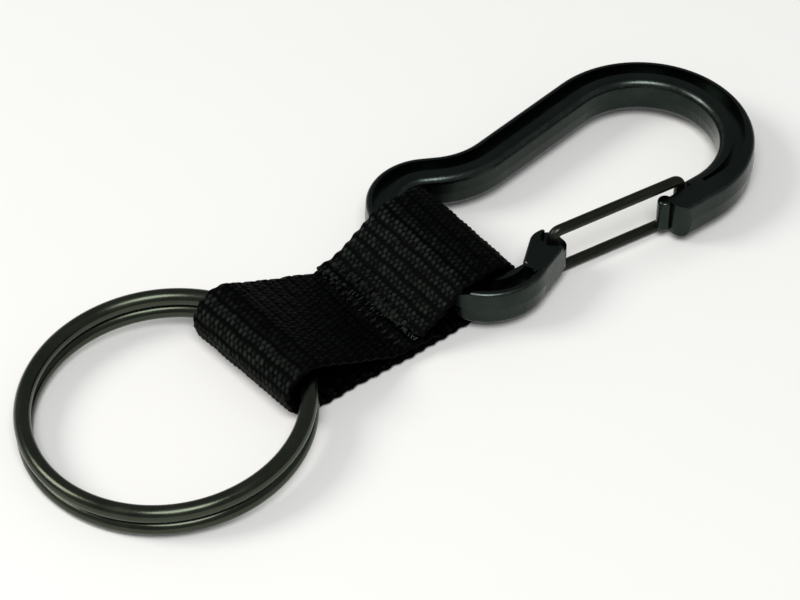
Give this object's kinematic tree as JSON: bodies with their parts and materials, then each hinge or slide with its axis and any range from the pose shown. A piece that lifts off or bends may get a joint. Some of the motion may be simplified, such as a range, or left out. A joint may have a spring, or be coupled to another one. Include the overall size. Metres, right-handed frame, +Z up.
{
  "type": "belt key clip",
  "caption": "Belt key clip: a wire-gate snap hook and a split key ring joined by a short sewn strap of webbing.",
  "frame": {"origin": "middle of the clip's outline, on the surface it lies on", "axes": "+X from the key ring to the hook, +Y from the gate to the hook's spine, +Z up"},
  "size_m": [0.1124, 0.038, 0.0085],
  "materials": {
    "anodised_aluminium": "satin black anodised",
    "gate_wire": "black oxide",
    "webbing": "matt woven nylon",
    "thread": "soft twisted nylon",
    "ring_steel": "polished gunmetal plating"
  },
  "bodies": {
    "hook": {"hook_frame": "anodised_aluminium"},
    "gate": {"wire_gate": "gate_wire"},
    "strap": {"webbing_strap": "webbing", "bar_tack_hook_side": "thread", "bar_tack_ring_side": "thread"},
    "ring": {"split_ring": "ring_steel"}
  },
  "joints": [
    {"name": "gate_hinge", "type": "hinge", "parent": "hook", "child": "gate", "pos_m": [0.01821, -0.0083, 0.00415], "axis": [0, 0, 1], "range_deg": [0, 38], "stiffness_Nm_per_rad": 0.02, "springref_deg": -22.92},
    {"name": "strap_swing", "type": "hinge", "parent": "hook", "child": "strap", "pos_m": [0.00386, 0, 0.00415], "axis": [0, 1, 0], "range_deg": [-125, 145]},
    {"name": "ring_swing", "type": "hinge", "parent": "strap", "child": "ring", "pos_m": [-0.02069, 0, 0.00425], "axis": [0, 1, 0], "range_deg": [-148, 160]}
  ]
}
